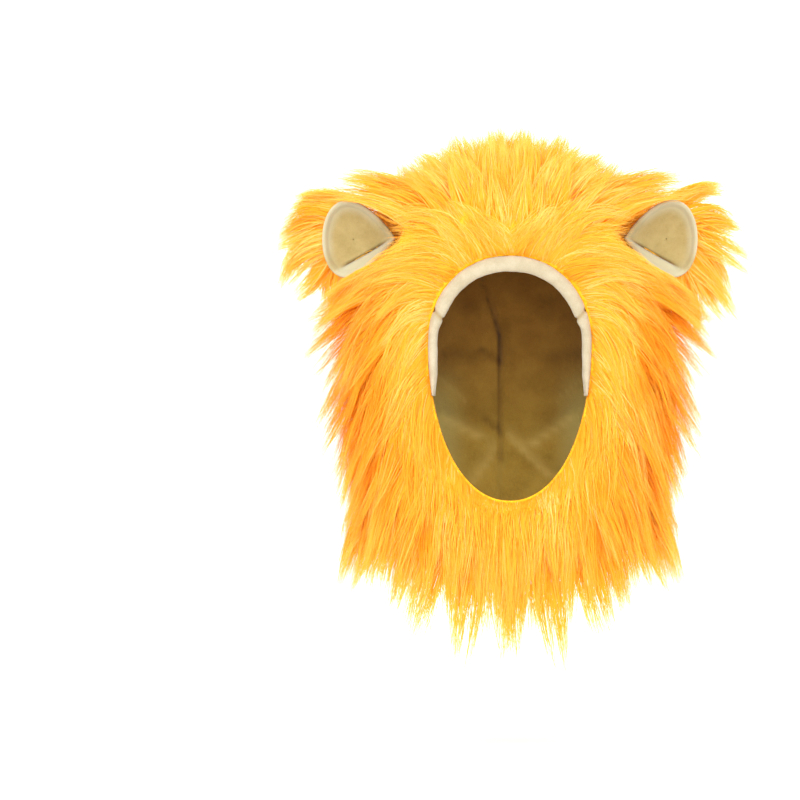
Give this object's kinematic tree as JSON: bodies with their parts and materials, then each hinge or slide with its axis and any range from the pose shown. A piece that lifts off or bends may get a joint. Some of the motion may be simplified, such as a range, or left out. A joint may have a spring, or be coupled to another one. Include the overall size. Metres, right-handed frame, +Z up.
{
  "type": "lion hood",
  "caption": "Lion hood of long orange fur with an oval face opening edged in cream plush, an olive plush lining and round ears, open below for the neck.",
  "frame": {"origin": "highest point of the hollow, on the lining's inner face, where the crown of the head carries the hood", "axes": "+Z up, -Y out of the face opening, +X to the right as seen from the front"},
  "size_m": [0.468, 0.3546, 0.5398],
  "materials": {
    "olive_plush": "olive-brown short plush",
    "mane_fur": "orange-yellow long-pile faux fur",
    "cream_plush": "cream plush band",
    "ear_plush": "beige short plush",
    "ear_fur": "orange-yellow long-pile faux fur"
  },
  "bodies": {
    "root": {"lining": "olive_plush", "mane": "mane_fur", "face_trim": "cream_plush", "ear_face_left": "ear_plush", "ear_face_right": "ear_plush", "ear_back_left": "ear_fur", "ear_back_right": "ear_fur"}
  },
  "joints": []
}
